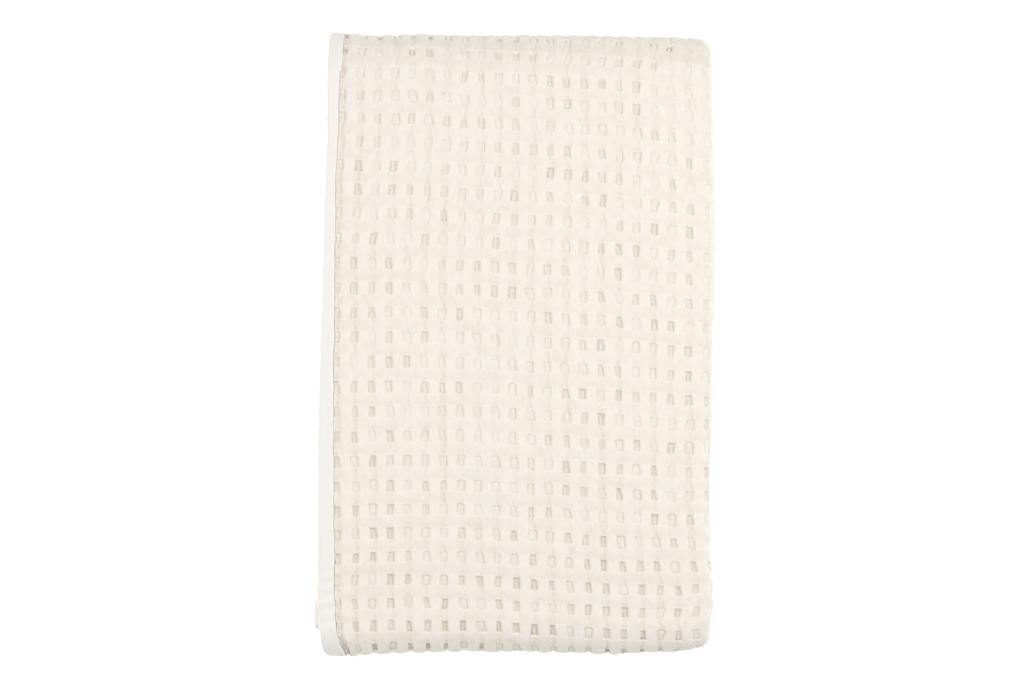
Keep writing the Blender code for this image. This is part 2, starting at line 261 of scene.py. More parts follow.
# The weave: hollow cells in columns along the cloth and rows across it, in mm.
# Row 0 is the first on the flat of the top pass. v is counted from the top pass's back end.
weave = {
    "pitchAcross": 18.27,
    "pitchAlong": 25.95,
    "knownColumns": (2, 21),
    "columns": (  # (v, across to the first known column, across to the second)
        (-60, 33.3, 374.5), (110, 31.3, 373.3), (226, 29.8, 373.3), (330, 33.3, 376.2),
        (440, 35.7, 378.8), (500, 35.8, 380.8), (550, 34.5, 382.6), (600, 34.5, 385.6)),
    "rows": (  # (row, v at the first known column, v at the second)
        (0, -8, 12), (1, 17, 36.5), (2, 43, 62.5), (5, 120.5, 139.4), (9, 226, 241.3),
        (13, 329.8, 344.3), (17, 431.4, 444.9), (20, 503.6, 518), (23, 574.5, 587),
        (24, 599, 611), (25, 618.5, 630), (26, 642, 653)),
    "droopBend": 1.8,  # how the rows droop from the first known column to the second
    "droopMost": 1.25,
    "sagColumns": (3.5, 8, 13, 17.5, 20.5),
    "sag": (  # (row, then how far forward of an even lattice its cells lie at those columns, in mm)
        (0.5, 1.4, 2.8, 2.6, 0.8, 0.7), (3, 0.0, 2.5, 2.2, 1.8, 1.8), (6.5, -0.2, 1.3, 1.7, 1.6, 0.9),
        (10.5, -0.2, 0.3, 1.3, 0.7, 1.0), (14.5, 0.1, 0.3, 1.0, 1.3, 0.8), (18, 1.2, 1.8, 1.5, 0.8, 1.0),
        (21.5, 0.7, 3.2, 3.6, 2.4, 1.8), (23, 0.1, 2.2, 2.3, 1.5, 1.6), (24, -1.0, -1.0, 0.0, -1.5, -1.0)),
    "tapeColumn": 0.75,  # the weave's first column, half under the tape, starts at this lattice place
    "tapeStart": 12.4,
    "tapeNarrow": (
        (-60, 2.0), (-8, 2.2), (-4, 3.3), (43, 4.9), (118, 5.8), (172, 4.8), (226, 3.7), (333, 2.2),
        (440, 0.9), (500, 0.0)),
    "lastRow": 24,
    "lean": 0.22,  # how far a cell leans sideways for each mm along it
    "offCentre": 0.9,
    "taper": (0.42, 0.26),  # the number that gives none, and how much a cell narrows
    "cellHalf": 6.0,  # the half length that tapers and tilts are counted over
    "cellWide": (0.88, 0.22),  # the narrowest cell, and how much wider they come
    "narrowerAhead": 0.07,
    "cellLong": (0.93, 0.12),
    "openHalf": (3.95, 6.5),  # an open hollow
    "openRound": 1.3,
    "openWall": 1.8,
    "openFloor": (0.8, 1.4),  # its floor begins at this share of the wall, and eases in over this many mm
    "openDepth": (1.7, 2.9),
    "openRise": (0.35, 1.0),  # its floor comes up towards the front
    "riseSlant": 0.9,
    "riseReach": (-3.5, 6.0),
    "puffHalf": (4.95, 7.15),  # one whose floor has puffed up, with a groove round it
    "puffRound": 2.9,
    "puffWall": 1.95,
    "puffFloor": (0.65, 2.0),
    "puffDepth": (1.1, 1.95),
    "puffUp": (0.55, 0.98),
    "puffMost": 1.15,
    "puffTilt": 0.5,
    "puffShallow": 0.30,  # its groove is shallower towards the front left
    "shallowScale": (5.5, 6.5),
    "shallowReach": (-0.3, 1.3),
    "puffColumns": (0, 5, 10, 15, 21),
    "puffShare": (  # (row, the share of cells that have puffed up at each of those columns)
        (0, 0.75, 0.70, 0.60, 0.60, 0.80), (4, 0.45, 0.50, 0.55, 0.50, 0.60),
        (8, 0.40, 0.50, 0.45, 0.55, 0.35), (12, 0.40, 0.55, 0.85, 0.60, 0.35),
        (16, 0.35, 0.60, 0.90, 0.45, 0.45), (19, 0.40, 0.80, 0.75, 0.50, 0.40),
        (22, 0.35, 0.45, 0.40, 0.45, 0.35), (25, 0.20, 0.25, 0.45, 0.35, 0.30)),
    "ragged": 20.5,  # from this row on the column beside the tape is puffed up and creased
    "frontShallow": 0.12,  # the share by which hollows are shallower past the front fold
    "frontRows": (23.4, 23.8),
    "plump": (0.6, 0.8),
    "pillow": (0.40, 1.0),  # the pads' height at the back and at the front
    "pillowHalf": (9.3, 8.0),
    "ridge": 0.45,  # the ridges from side to side between a row's hollows
    "ridgeHalf": 6.2,
    "ridgeRound": 0.8,
    "ridgeEnds": (0.31, 0.21),  # shares of the pitch along
    "valley": (0.15, 0.95),  # along the columns, from hollow to hollow
    "valleyNoise": ((21, 0.5, 9.1, 5.0), (24, 0.35, 3.1, 1.4)),  # (seed, height, across, step) of each part
    "valleyHalf": 1.9,
    "valleyEnds": (-7.6, -5.2),
    "valleyBend": 1.5,
    "pinch": (0.0, 0.55),
    "pinchHalf": 0.8,
    "pinchNoise": ((22, 1, 3.7, 1.3),),
    "behind": 0.35,  # how far the threads behind a hollow slope down to it
    "behindHalf": (3.2, 2.0),
    "behindPlace": 8.3,
    "crinkle": 0.21,
    "fineCrinkle": 0.6,  # a share of the crinkle
    "crinkleSteps": (0.21, 0.11),  # in lattice places
    "frontCrumple": 0.85,
    "crumpleNoise": ((34, 0.6, 1, 0.36), (35, 0.4, 1, 0.19)),
    "calmer": (0.4, 0.5),  # how much less the hollows are crinkled, and crumpled
    "crumpleRows": (22.7, 24.1),
    "wander": 0.75,
    "wanderAlong": 1.3,
    "wanderStep": 0.9,
    "swell": 0.45,
    "swellStep": 2.6,
    "hem": 19.0,
    "hemEase": 4.0,
    "stitch": (3.0, 0.7, 0.1, 0.5),  # its place in the hem, half width, the hem's own sink and the stitch's
}

# Painted shade at each place, as a share of the way from the cloth's colour to the hollows' darker colour:
# shade painted in the hollows, on the bars, in the valleys, behind the hollows, beside the tape and on the
# folds. Only the mottle is the cloth's own random tone.
weaveTones = {
    "pad": 0.012,
    # painted shade on the bars between the pads
    "bar": 0.105,
    "barReach": (6.0, 8.4),
    "barShadeSpread": (0.75, 0.35, 0.33, 0.25),  # how much of the bars' painted shade there is: a level, noise and its step, and more by plump pads
    # painted shade where the threads behind a hollow slope down to it
    "behind": 0.07,
    # painted shade in the valleys from hollow to hollow
    "valley": 0.17,
    "mottle": 0.06,
    "mottleNoise": ((27, 1, 1, 0.16), (28, 1, 1, 0.4)),
    # painted shade on the column beside the tape
    "tapeSide": 0.13,
    "tapeNoise": ((26, 0.6, 3, 0.2),),
    "tapeColumns": (1.1, 1.7),
    "fullDepth": 2.0,  # in mm
    "depth": (0.66, 0.95),  # painted shade by depth: an open hollow, and a puffed one
    # painted shade over the whole sunk part of a hollow: an open one, and a puffed one
    "fill": (0.38, 0.16),
    "hollow": (  # (row, then how much painted shade its hollows get at the columns of puffColumns)
        (-1.8, 0.18, 0.18, 0.18, 0.18, 0.18), (0.3, 0.40, 0.38, 0.38, 0.38, 0.36),
        (6, 0.40, 0.38, 0.36, 0.40, 0.42), (12, 0.42, 0.38, 0.34, 0.44, 0.44),
        (18, 0.52, 0.46, 0.44, 0.52, 0.50), (23.4, 0.60, 0.60, 0.62, 0.60, 0.54),
        (25, 0.78, 0.80, 0.84, 0.80, 0.72)),
    "paleLeft": (0.35, 1.1, 1.6),  # how much less painted shade in the first and the last columns, and from where to where
    "paleRight": (0.4, 21.3, 22.0),
    # painted shade on the back fold, where it turns down away from the lamps
    "backFold": 0.13,
    "backRows": (0.2, 1.9),
    "frontFold": 0.10,  # painted light and shade in the front fold's crumples: lighter on their rises, darker in their dips
}

# The cloth beside the tape, in mm from the edge, is pulled, creased and worn, with painted shade in its
# creases' dips.
tapeSide = {
    "rise": 1.0,  # the cloth comes up over this much on either side of the tape's edge
    "stillColumns": (1.3, 2.0),  # the lattice wanders less before these
    "reach": (18, 25),
    "worn": (0.7, 0.6, 3.0),  # at the back, how much more at the front, and the rows that it changes over
    "creases": ((43, 0.9, 2, 0.22), (44, 0.8, 3, 0.11)),
    # painted shade in the creases' dips
    "paintedCreaseShade": 0.22,
    "lower": 0.35,
    "tucked": 0.4,
}
acrossStops = (0, 0.9, 1.8, 2.6, 3.2, 3.8, 4.4, 5.2, 7.0)
alongStops = (0, 2.2, 4.0, 5.0, 5.6, 6.2, 6.8, 7.6, 9.0, 11.0)


def cellStops(low, high, stops, pitch, every=1):  # lattice places, close together at the cells' walls
    half = [stop / pitch for stop in stops[::every]]
    full = [-0.5] + [-share for share in reversed(half[1:])] + half
    places = [cell + share for cell in range(math.floor(low), math.ceil(high) + 1) for share in full]
    return np.array(sorted({round(place, 6) for place in places + [low, high] if low <= place <= high}))


def extended(table, at, column, slope):  # a table's value, going on evenly beyond its ends
    rows = np.array(table, float)
    inside = np.interp(at, rows[:, 0], rows[:, column])
    before = np.minimum(at - rows[0, 0], 0) * slope
    after = np.maximum(at - rows[-1, 0], 0) * slope
    return inside + before + after


def tabled(table, columns, column, row):  # a small table's value at each row and column
    values = easedTable(table, row)
    place = np.interp(column, columns, range(len(columns)))
    low = np.minimum(place.astype(int), len(columns) - 2)
    first = np.take_along_axis(values, low[..., None], -1)[..., 0]
    after = np.take_along_axis(values, low[..., None] + 1, -1)[..., 0]
    return first + (after - first) * (place - low)


def tapeNarrow(v):  # how much less of the tape's face shows, in mm, where it rolls over the edge
    rows = np.array(weave["tapeNarrow"], float)
    return np.interp(v, rows[:, 0], rows[:, 1])


def latticePlace(column, row):  # distances across and along the flat cloth, in mm
    w = weave
    first, last = w["knownColumns"]
    share = np.clip((column - first) / (last - first), 0, 1.3) ** w["droopBend"]
    left = extended(w["rows"], row, 1, w["pitchAlong"])
    right = extended(w["rows"], row, 2, w["pitchAlong"])
    v = left + (right - left) * np.minimum(share, w["droopMost"])
    v = v + tabled(w["sag"], w["sagColumns"], column, row)
    table = np.array(w["columns"], float)
    second = np.interp(v, table[:, 0], table[:, 1])
    late = np.interp(v, table[:, 0], table[:, 2])
    pitch = (late - second) / (last - first)
    u = second + pitch * (np.minimum(column, last) - first) + np.maximum(column - last, 0) * w["pitchAcross"]
    beside = second - 0.5 * pitch
    wall = first - 0.5  # from here to the tape the lattice is stretched to meet it
    near = (column - w["tapeColumn"]) / (wall - w["tapeColumn"])
    starts = w["tapeStart"] - tapeNarrow(v)
    u = np.where(column < wall, starts + (beside - starts) * near, u)
    return u, v


def spread(seed, column, row, step=1.0):  # smooth noise from -1 to 1, one value for each lattice place
    table = np.random.default_rng(seed).uniform(-1, 1, (64, 128))
    across, along = column / step + 7.3, row / step + 53.7
    firstColumn, firstRow = np.floor(across).astype(int), np.floor(along).astype(int)
    easeAcross, easeAlong = smooth(across - firstColumn), smooth(along - firstRow)
    value = 0
    for nextColumn, shareAcross in ((0, 1 - easeAcross), (1, easeAcross)):
        for nextRow, shareAlong in ((0, 1 - easeAlong), (1, easeAlong)):
            found = table[(firstColumn + nextColumn) % 64, (firstRow + nextRow) % 128]
            value = value + found * shareAcross * shareAlong
    return value


def blended(parts, column, row, level=0):  # noise of several seeds about a level
    return sum((high * spread(seed, column * across, row, step) for seed, high, across, step in parts), level)


def cellValue(seed, column, row):  # one random number from 0 to 1 for each cell
    table = np.random.default_rng(seed).uniform(0, 1, (64, 160))
    return table[np.round(column).astype(int) % 64, np.round(row).astype(int) % 160]


def between(pair, share):  # the value at a share of the way from a pair's first to its second
    return pair[0] + (pair[1] - pair[0]) * share


def outside(a, b, halfWide, halfLong, corner):  # distance out of a rounded oblong, below 0 inside it
    outX = np.maximum(np.abs(a) - halfWide + corner, 0)
    outY = np.maximum(np.abs(b) - halfLong + corner, 0)
    inside = np.minimum(np.maximum(np.abs(a) - halfWide, np.abs(b) - halfLong) + corner, 0)
    return np.hypot(outX, outY) + inside - corner


def floorShare(inward, wall, floor):  # how much of a hollow's level floor there is, from its wall inwards
    start = wall * floor[0]
    return smooth(inward, start, start + floor[1])


def relief(column, row):
    # The weave's height over its bars' level, in mm, and its painted shade there, with the cloth's own random
    # mottle, from 0 to 1.
    w = weave
    a = (column - np.round(column)) * w["pitchAcross"]
    b = (row - np.round(row)) * w["pitchAlong"]
    fromColumns = w["pitchAcross"] / 2 - np.abs(a)
    fromRows = w["pitchAlong"] / 2 - np.abs(b)
    number = [cellValue(seed, column, row) for seed in range(11, 20)]
    ahead = np.clip(row / w["lastRow"], 0, 1)
    lean = (number[0] - 0.5) * w["lean"] * b + (number[1] - 0.5) * w["offCentre"]
    taper = 1 + (number[2] - w["taper"][0]) * w["taper"][1] * b / w["cellHalf"]
    wide = (w["cellWide"][0] + w["cellWide"][1] * number[3]) * (1 - w["narrowerAhead"] * ahead)
    long = w["cellLong"][0] + w["cellLong"][1] * number[4]
    puffed = number[5] < tabled(w["puffShare"], w["puffColumns"], np.round(column), np.round(row))
    puffed = np.where(np.round(column) > 1, puffed, row > w["ragged"])

    # Open hollows
    away = outside(a - lean, b, w["openHalf"][0] * wide * taper, w["openHalf"][1] * long, w["openRound"])
    openSink = smooth(-away, 0.0, w["openWall"])
    rise = between(w["openRise"], number[6]) * smooth(b - w["riseSlant"] * a, *w["riseReach"])
    openFloor = floorShare(-away, w["openWall"], w["openFloor"])
    openHollow = -between(w["openDepth"], number[7]) * openSink * (1 - rise * openFloor)

    # Puffed ones
    far = outside(a - lean, b, w["puffHalf"][0] * wide * taper, w["puffHalf"][1] * long, w["puffRound"])
    ringSink = smooth(-far, 0.0, w["puffWall"])
    ringFloor = floorShare(-far, w["puffWall"], w["puffFloor"])
    up = between(w["puffUp"], number[8]) + (number[6] - 0.5) * w["puffTilt"] * b / w["cellHalf"]
    frontLeft = smooth(b / w["shallowScale"][1] - a / w["shallowScale"][0], *w["shallowReach"])
    ringHollow = -between(w["puffDepth"], number[7]) * (1 - w["puffShallow"] * frontLeft) * ringSink
    ringHollow = ringHollow * (1 - np.clip(up, 0, w["puffMost"]) * ringFloor)

    sink = np.where(puffed, ringSink, openSink)
    hollow = np.where(puffed, ringHollow, openHollow)
    hollow = hollow * (1 - w["frontShallow"] * smooth(row, *w["frontRows"]))

    # Pads, ridges, and valleys from hollow to hollow
    ends = smooth(-np.abs(b), -w["pitchAlong"] * w["ridgeEnds"][0], -w["pitchAlong"] * w["ridgeEnds"][1])
    ridge = np.clip(1 - (fromColumns / w["ridgeHalf"]) ** 2, 0, 1) ** w["ridgeRound"]
    plump = w["plump"][0] + w["plump"][1] * cellValue(23, column + 0.5, row + 0.5)
    pillow = np.clip(1 - (fromColumns / w["pillowHalf"][0]) ** 2, 0, 1)
    pillow = pillow * np.clip(1 - (fromRows / w["pillowHalf"][1]) ** 2, 0, 1)
    raised = between(w["pillow"], ahead) * plump * pillow + w["ridge"] * ridge * ends
    along = np.clip(blended(w["valleyNoise"], np.round(column), row, 0.5), 0, 1) ** w["valleyBend"]
    narrow = np.clip(blended(w["pinchNoise"], np.round(column), row), 0, 1)
    beyond = 1 - smooth(-np.abs(b), *w["valleyEnds"])
    groove = np.exp(-((a - lean) / w["valleyHalf"]) ** 2)
    valley = between(w["valley"], along) * groove
    pinch = between(w["pinch"], narrow) * np.exp(-((a - lean) / w["pinchHalf"]) ** 2)
    halfAcross, halfAlong = w["behindHalf"]
    behind = np.exp(-((a - lean) / halfAcross) ** 2 - ((b + w["behindPlace"]) / halfAlong) ** 2)
    height = (raised - (valley + pinch) * beyond - w["behind"] * behind) * (1 - sink) + hollow

    # The cloth's own unevenness
    coarse, fine = w["crinkleSteps"]
    height += w["crinkle"] * spread(31, column, row, coarse) * (1 - w["calmer"][0] * sink)
    height += w["fineCrinkle"] * w["crinkle"] * spread(32, column, row, fine)
    height += w["swell"] * spread(33, column, row, w["swellStep"])
    front = smooth(row, *w["crumpleRows"])
    crumple = blended(w["crumpleNoise"], column, row)
    height += w["frontCrumple"] * crumple * front * (1 - w["calmer"][1] * sink)

    # Tone: painted shade, and the cloth's own random mottle
    tones = weaveTones
    # painted shade in the hollows, more where they are deeper, less in the first and last columns
    paintedHollowShade = np.where(puffed, tones["depth"][1], tones["depth"][0])
    paintedHollowShade = paintedHollowShade * np.clip(-hollow / tones["fullDepth"], 0, 1)
    paintedHollowShade = paintedHollowShade + np.where(puffed, tones["fill"][1], tones["fill"][0]) * sink
    paintedHollowShade *= tabled(tones["hollow"], w["puffColumns"], column, row)
    left, right = tones["paleLeft"], tones["paleRight"]
    paintedHollowShade *= (1 - left[0] * (1 - smooth(column, *left[1:]))) * (1 - right[0] * smooth(column, *right[1:]))
    # painted shade on the bars between the pads, uneven at random and more beside plump pads
    level, uneven, step, byPads = tones["barShadeSpread"]
    barShadeAmount = level + uneven * spread(25, column, row, step) + byPads * plump
    tone = tones["pad"] + (tones["bar"] - tones["pad"]) * smooth(np.abs(b), *tones["barReach"]) * barShadeAmount
    # painted shade behind the hollows and along the valleys
    tone = tone + tones["behind"] * behind
    tone = tone + tones["valley"] * groove * along * beyond * (1 - sink)
    # the cloth's own random mottle
    tone = tone + tones["mottle"] * blended(tones["mottleNoise"], column, row)
    # painted shade beside the tape
    byTape = 1 - smooth(column, *tones["tapeColumns"])
    tone = tone + tones["tapeSide"] * byTape * blended(tones["tapeNoise"], column, row, 0.4)
    # painted shade on the back fold; painted light and shade on the front fold's crumples
    tone = tone + tones["backFold"] * smooth(-row, *tones["backRows"]) - tones["frontFold"] * front * crumple
    return height, np.clip(tone + (1 - tone) * paintedHollowShade, 0, 1)


def besideTape(u, v):  # the cloth swells to its full thickness beside the tape
    face = (stack["tapeFace"] + stack["clearance"]) / mm - tapeNarrow(v)
    return smooth(u, face - tapeSide["rise"], face + tapeSide["rise"])


def linearColour(text):  # an sRGB hex colour as linear values
    values = [int(text[place:place + 2], 16) / 255 for place in (1, 3, 5)]
    linear = [((value + 0.055) / 1.055) ** 2.4 if value > 0.04045 else value / 12.92 for value in values]
    return linear + [1.0]


def addNode(tree, kind, settings=(), links=()):
    made = tree.nodes.new(kind)
    for name, value in dict(settings).items():
        if isinstance(name, str) and hasattr(made, name):
            setattr(made, name, value)
        else:
            made.inputs[name].default_value = value
    for name, source in dict(links).items():
        tree.links.new(source, made.inputs[name])
    return made


def bandsHeight(tree, uv, direction, period, distortion):  # threads as soft bands, this far apart in metres
    return addNode(tree, "ShaderNodeTexWave", {
        "wave_type": "BANDS", "bands_direction": direction, "wave_profile": "SIN",
        "Scale": math.pi / 10 / period, "Distortion": distortion, "Detail": 2.0, "Detail Scale": 0.6,
    }, {"Vector": uv}).outputs["Fac"]


def plainMaterial(name, values):  # a new material with these values on its shader
    made = bpy.data.materials.new(name)
    made.use_nodes = True
    for socket, value in values.items():
        made.node_tree.nodes["Principled BSDF"].inputs[socket].default_value = value
    return made


waffleLook = {
    "colour": "#FBF5EC",
    # the darker colour that painted shade mixes towards, in the hollows, on the bars and in the valleys; the
    # random mottle and yarn streaks use it too
    "paintedShadeAndMottleColour": "#D6CAB8",
    "shader": {"Roughness": 0.93, "Specular IOR Level": 0.25, "Sheen Weight": 0.12, "Sheen Roughness": 0.5},
    "threadAcross": 0.0019,  # the threads are drawn two or three times as coarse as real ones, to show
    "threadAlong": 0.0012,
    "threadWander": (3.0, 2.0),
    "threadDepth": 0.00022,
    "threadBump": 0.55,
    "weftShare": 0.45,
    "fuzz": 900.0,  # loose fibres, about a millimetre apart
    "streaks": (520.0, 130.0, 1.0),  # uneven yarn, drawn out along the cloth
    "streakShare": 0.26,
}


def waffleCotton():
    # Undyed combed cotton, waffle woven and washed soft: matt and warm white, with a faint bloom
    # where it turns away. Painted shade makes it greyer and browner down in the hollows, on the bars and in
    # the valleys, and its own random mottle and uneven yarn streaks mix towards the same colour.
    look = waffleLook
    cloth = plainMaterial("undyed cotton waffle", look["shader"])
    tree = cloth.node_tree
    shader = tree.nodes["Principled BSDF"]
    uv = addNode(tree, "ShaderNodeUVMap", {"uv_map": "flatCloth"}).outputs["UV"]
    # the mesh's "hollow" attribute: painted shade, with the cloth's own random mottle
    hollow = addNode(tree, "ShaderNodeAttribute", {"attribute_name": "hollow"}).outputs["Fac"]
    drawn = addNode(tree, "ShaderNodeMapping", {"Scale": look["streaks"]}, {"Vector": uv}).outputs["Vector"]
    streak = addNode(tree, "ShaderNodeTexNoise", {"Scale": 1.0, "Detail": 2.0, "Roughness": 0.6},
                     {"Vector": drawn})
    around = addNode(tree, "ShaderNodeMath", {"operation": "SUBTRACT", 1: 0.5}, {0: streak.outputs["Fac"]})
    mixed = addNode(tree, "ShaderNodeMath", {
        "operation": "MULTIPLY_ADD", 1: look["streakShare"], "use_clamp": True,
    }, {0: around.outputs[0], 2: hollow})
    colour = addNode(tree, "ShaderNodeMix", {"data_type": "RGBA"}, {"Factor": mixed.outputs[0]})
    colour.inputs[6].default_value = linearColour(look["colour"])
    colour.inputs[7].default_value = linearColour(look["paintedShadeAndMottleColour"])
    tree.links.new(colour.outputs[2], shader.inputs["Base Color"])
    warp = bandsHeight(tree, uv, "X", look["threadAcross"], look["threadWander"][0])
    weft = bandsHeight(tree, uv, "Y", look["threadAlong"], look["threadWander"][1])
    fuzz = addNode(tree, "ShaderNodeTexNoise", {"Scale": look["fuzz"], "Detail": 3.0}, {"Vector": uv})
    both = addNode(tree, "ShaderNodeMath", {"operation": "MULTIPLY_ADD", 1: look["weftShare"]},
                   {0: weft, 2: warp})
    rough = addNode(tree, "ShaderNodeMath", {"operation": "ADD"},
                    {0: both.outputs[0], 1: fuzz.outputs["Fac"]})
    bump = addNode(tree, "ShaderNodeBump", {"Strength": look["threadBump"], "Distance": look["threadDepth"]},
                   {"Height": rough.outputs[0]})
    tree.links.new(bump.outputs["Normal"], shader.inputs["Normal"])
    return cloth


tapeLook = {
    "colour": "#EFE9E3",
    "paintedHighlightColour": "#FFFDF9",  # painted highlight on its folded and sewn edges, where they catch the light; the face sits part of the way towards it
    "shader": {"Roughness": 0.8, "Specular IOR Level": 0.3, "Sheen Weight": 0.08},
    "thread": 0.0005,
    "threadWander": 0.5,
    "threadDepth": 0.00005,
    "threadBump": 0.4,
}


def bindingTape():  # plain woven white cotton tape: closer, smoother and cooler in colour than the cloth
    look = tapeLook
    tape = plainMaterial("white cotton binding tape", look["shader"])
    tree = tape.node_tree
    shader = tree.nodes["Principled BSDF"]
    # the mesh's "hollow" attribute: painted highlight on the bead, and painted light and shade on the ripples
    edge = addNode(tree, "ShaderNodeAttribute", {"attribute_name": "hollow"}).outputs["Fac"]
    colour = addNode(tree, "ShaderNodeMix", {"data_type": "RGBA"}, {"Factor": edge})
    colour.inputs[6].default_value = linearColour(look["colour"])
    colour.inputs[7].default_value = linearColour(look["paintedHighlightColour"])
    tree.links.new(colour.outputs[2], shader.inputs["Base Color"])
    uv = addNode(tree, "ShaderNodeUVMap", {"uv_map": "flatCloth"}).outputs["UV"]
    warp, weft = [bandsHeight(tree, uv, way, look["thread"], look["threadWander"]) for way in "XY"]
    both = addNode(tree, "ShaderNodeMath", {"operation": "ADD"}, {0: warp, 1: weft})
    bump = addNode(tree, "ShaderNodeBump", {"Strength": look["threadBump"], "Distance": look["threadDepth"]},
                   {"Height": both.outputs[0]})
    tree.links.new(bump.outputs["Normal"], shader.inputs["Normal"])
    return tape


def gridFaces(wide, long, closedWide=False):  # quads of a grid whose points run along first
    first = np.arange(wide if closedWide else wide - 1)
    second = (first + 1) % wide
    rows = np.arange(long - 1)
    a = first[:, None] * long + rows
    b = second[:, None] * long + rows
    return np.stack([a, a + 1, b + 1, b], axis=-1).reshape(-1, 4)


def pointNormals(grid):  # of a grid of places, from its neighbours
    alongWay = np.gradient(grid, axis=1)
    acrossWay = np.gradient(grid, axis=0)
    normals = np.cross(alongWay, acrossWay)
    return normals / np.maximum(np.linalg.norm(normals, axis=-1, keepdims=True), 1e-12)


def meshObject(name, points, faces, uv, hollow, material, normals=None):
    mesh = bpy.data.meshes.new(name)
    mesh.vertices.add(len(points))
    mesh.vertices.foreach_set("co", np.asarray(points, np.float32).ravel())
    mesh.loops.add(faces.size)
    mesh.loops.foreach_set("vertex_index", faces.ravel().astype(np.int32))
    mesh.polygons.add(len(faces))
    mesh.polygons.foreach_set("loop_start", np.arange(0, faces.size, 4, dtype=np.int32))
    mesh.update(calc_edges=True)
    mesh.polygons.foreach_set("use_smooth", np.ones(len(faces), bool))
    flat = mesh.uv_layers.new(name="flatCloth")
    flat.data.foreach_set("uv", np.asarray(uv, np.float32)[faces.ravel()].ravel())
    # the "hollow" attribute: painted shade and painted highlights for the materials' colour mixes, with the
    # cloth's own mottle
    paintedShading = mesh.attributes.new("hollow", "FLOAT", "POINT")
    paintedShading.data.foreach_set("value", np.asarray(hollow, np.float32).ravel())
    mesh.materials.append(material)
    mesh.validate()
    if normals is not None:
        mesh.normals_split_custom_set_from_vertices(normals.reshape(-1, 3).tolist())
    else:
        turned = bmesh.new()
        turned.from_mesh(mesh)
        bmesh.ops.holes_fill(turned, edges=[edge for edge in turned.edges if edge.is_boundary])
        bmesh.ops.recalc_face_normals(turned, faces=turned.faces)
        turned.to_mesh(mesh)
        turned.free()
    made = bpy.data.objects.new(name, mesh)
    bpy.context.scene.collection.objects.link(made)
    return made


# The whole cloth, in 16 layers, as one closed sheet. Its outer face steps in under the relief.
base = {
    "layerSteps": 12,
    "sideSteps": 12,
    "tightSteps": 8,
    "passSteps": 26,
    "bigSteps": 26,
    "smallSteps": 14,
    "bySeam": (0.006, 0.0118, 0.0134),  # places across under the tape, then past it
    "pastTape": (0.0015, 0.003),
    "inside": 0.024,
    "evenFrom": 0.09,
    "evenTo": 0.91,
    "tightPlaces": (3.5, 5.5),  # the middles of the tight folds, where the cloth is pressed thinner
    "pressHalf": 0.6,
    "pressGrow": 1.8,
    "under": 1.45 * mm,  # how far below the middle its outer face lies under the relief
    "underTop": (12.6, 24.1, -7.0, 26.6),  # first place across in mm, last column, first and last row
    "knownAcross": 381,  # mm across to the second known column
    "underRight": (0.381, 0.437),  # places across the flat cloth, in metres
    "underLeft": (0.7995, 0.8220),
    "clearEnds": 0.004,
    "hemEnd": 1.6 * mm,
}

skinPlan = {  # lattice columns and rows of each skin, and where the top one is cut
    "lift": 0.45,  # its bars lie this far below the cloth's full thickness, in mm
    "aboveBase": 0.06 * mm,
    "aboveFloor": 0.1 * mm,
    "topColumns": (0.75, 24.5),
    "topRows": (-7.5, 27.5),
    "topCuts": (1.5, 10.5, 19.5),
    "sideColumns": (20.5, 24.5),
    "baseRows": (-28.8, -7.5),
    "innerRows": (27.5, 69.4),
    "leftColumns": (43.5, 45.5),
    "leftRows": (-28.8, 69.0),
    "leftDepth": 0.6,
}


def reliefGrid(columns, rows, depthShare=1.0):
    # Places, flat sizes, and painted shade with the cloth's own mottle, of the weave over these lattice
    # columns and rows.
    c, r = np.meshgrid(columns, rows, indexing="ij")
    w = weave
    side = tapeSide
    u, v = latticePlace(c, r)
    still = smooth(c, *side["stillColumns"])
    u = u + w["wander"] * spread(41, c, r, w["wanderStep"]) * still
    v = v + w["wander"] * w["wanderAlong"] * spread(42, c, r, w["wanderStep"]) * (0.4 + 0.6 * still)
    height, tone = relief(c, r)
    swell = besideTape(u, v)
    near = 1 - smooth(u + tapeNarrow(v), *side["reach"])
    backWorn, frontWorn, over = side["worn"]
    worn = backWorn + frontWorn * smooth(r, w["ragged"] - over, w["ragged"] + over)
    crease = blended(side["creases"], c, r) * near * worn
    # painted shade in the creases' dips
    tone = np.clip(tone - side["paintedCreaseShade"] * np.minimum(crease, 0), 0, 1)
    height = (height * depthShare + crease - side["lower"] * near) * swell
    full, pressed = stack["sheet"] / 2, stack["pressedSheet"] / 2
    off = pressed + (full - pressed) * swell - side["tucked"] * mm * (1 - swell)
    off = off + (height - skinPlan["lift"]) * mm * swell
    start, finish = -topStart / mm, (alongRun[-1] - topStart) / mm
    fromEnd = np.minimum(v - start, finish - v)
    hemmed = 1 - smooth(fromEnd, w["hem"], w["hem"] + w["hemEase"])
    place, half, sunk, deeper = w["stitch"]
    stitch = np.exp(-((fromEnd - w["hem"] + place) / half) ** 2)
    off = off * (1 - hemmed) + (full - (sunk + deeper * stitch) * mm) * hemmed
    off = np.maximum(off, skinPlan["aboveBase"] - base["under"])
    p, t = stepAcross(u * mm), stepAlong(v * mm + topStart)
    places = foldedPlace(p, t, off) + toFrame
    places[..., 2] = np.maximum(places[..., 2], skinPlan["aboveFloor"])  # nothing sinks into the floor
    return places, np.stack([u * mm, v * mm + topStart], axis=-1), tone


